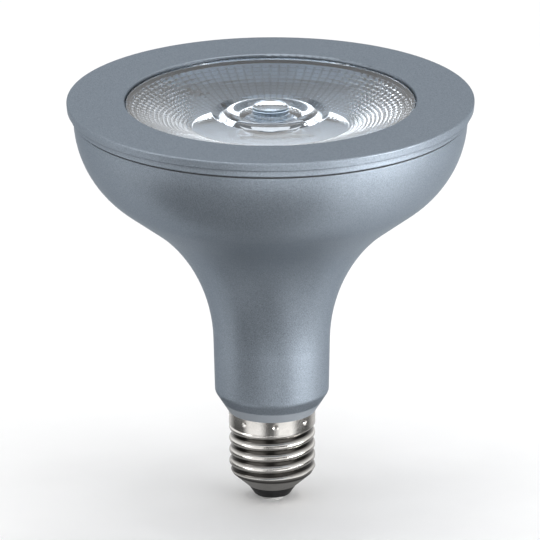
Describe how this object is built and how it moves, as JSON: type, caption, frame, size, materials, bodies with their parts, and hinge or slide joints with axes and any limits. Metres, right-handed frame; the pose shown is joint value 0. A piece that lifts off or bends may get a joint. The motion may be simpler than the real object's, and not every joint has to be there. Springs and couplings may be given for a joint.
{
  "type": "par spotlight bulb",
  "caption": "Reflector spotlight lamp: painted bowl and neck, flat front ring, clear lens with a faceted bowl over an LED, and an Edison screw cap.",
  "frame": {"origin": "tip of the centre contact, on the lamp's axis", "axes": "+Z along the lamp's axis from the cap towards the face, +X to the right of the picture's view"},
  "size_m": [0.1224, 0.1224, 0.127],
  "materials": {
    "silver_paint": "satin metallic",
    "gasket_rubber": "matt",
    "clear_acrylic": "clear moulded",
    "grey_plastic": "matt",
    "nickel_plate": "polished",
    "black_insulator": "gloss",
    "contact_metal": "tinned",
    "plate_aluminium": "satin",
    "screw_steel": "satin",
    "led_ceramic": "matt",
    "dam_white": "matt",
    "phosphor_yellow": "matt",
    "board_green": "satin",
    "ferrite": "matt",
    "winding_tape": "satin",
    "capacitor_sleeve": "gloss",
    "film_red": "gloss",
    "choke_sleeve": "matt",
    "chip_epoxy": "matt",
    "fuse_ceramic": "matt",
    "lead_red": "satin",
    "lead_white": "satin"
  },
  "bodies": {
    "root": {"body_shell": "silver_paint", "front_bezel": "silver_paint", "rim_gasket": "gasket_rubber", "optic_lens": "clear_acrylic", "driver_cup": "grey_plastic", "screw_cap": "nickel_plate", "cap_insulator": "black_insulator", "centre_contact": "contact_metal", "heat_plate": "plate_aluminium", "plate_screws": "screw_steel", "led_board": "led_ceramic", "phosphor_dam": "dam_white", "led_phosphor": "phosphor_yellow", "led_screws": "screw_steel", "driver_board": "board_green", "transformer_core": "ferrite", "transformer_winding": "winding_tape", "input_capacitor": "capacitor_sleeve", "output_capacitor": "capacitor_sleeve", "film_capacitor": "film_red", "filter_choke": "choke_sleeve", "bridge_rectifier": "chip_epoxy", "driver_chip": "chip_epoxy", "fuse_resistor": "fuse_ceramic", "live_lead": "lead_red", "neutral_lead": "lead_white", "led_lead_positive": "lead_white", "led_lead_negative": "lead_white"}
  },
  "joints": []
}
